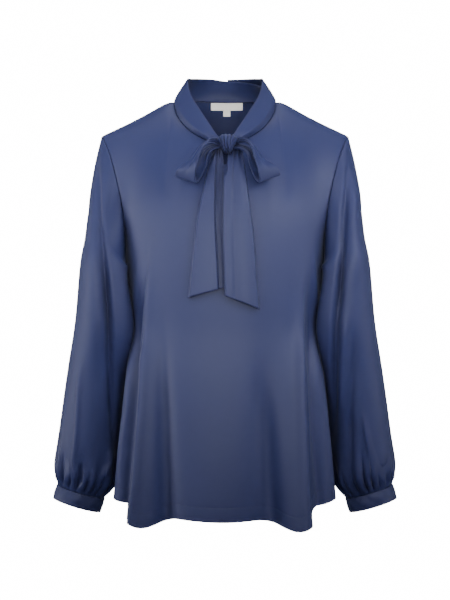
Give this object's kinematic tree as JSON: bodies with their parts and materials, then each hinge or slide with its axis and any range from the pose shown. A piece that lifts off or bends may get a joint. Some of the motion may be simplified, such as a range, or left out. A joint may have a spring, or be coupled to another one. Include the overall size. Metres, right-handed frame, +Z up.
{
  "type": "blouse",
  "caption": "Long-sleeved satin blouse with a band collar tied in a bow, gathered cuffs and a curved hem, hollow as worn.",
  "frame": {"origin": "midway between the two points where the shoulder seams meet the collar, where the wearer's neck and shoulders carry the blouse", "axes": "+Z up along the body, +X towards the wearer's left, +Y towards the wearer's back; the front faces -Y"},
  "size_m": [0.5656, 0.2782, 0.7354],
  "materials": {
    "satin": "slate blue satin, soft sheen",
    "label": "woven cream ribbon, matt"
  },
  "bodies": {
    "root": {"front": "satin", "back": "satin", "sleeve_right": "satin", "sleeve_left": "satin", "cuff_right": "satin", "cuff_left": "satin", "collar_right": "satin", "collar_left": "satin", "bow_knot": "satin", "bow_loop_right": "satin", "bow_loop_left": "satin", "tie_end_right": "satin", "tie_end_left": "satin", "label": "label", "size_tab": "label"}
  },
  "joints": []
}
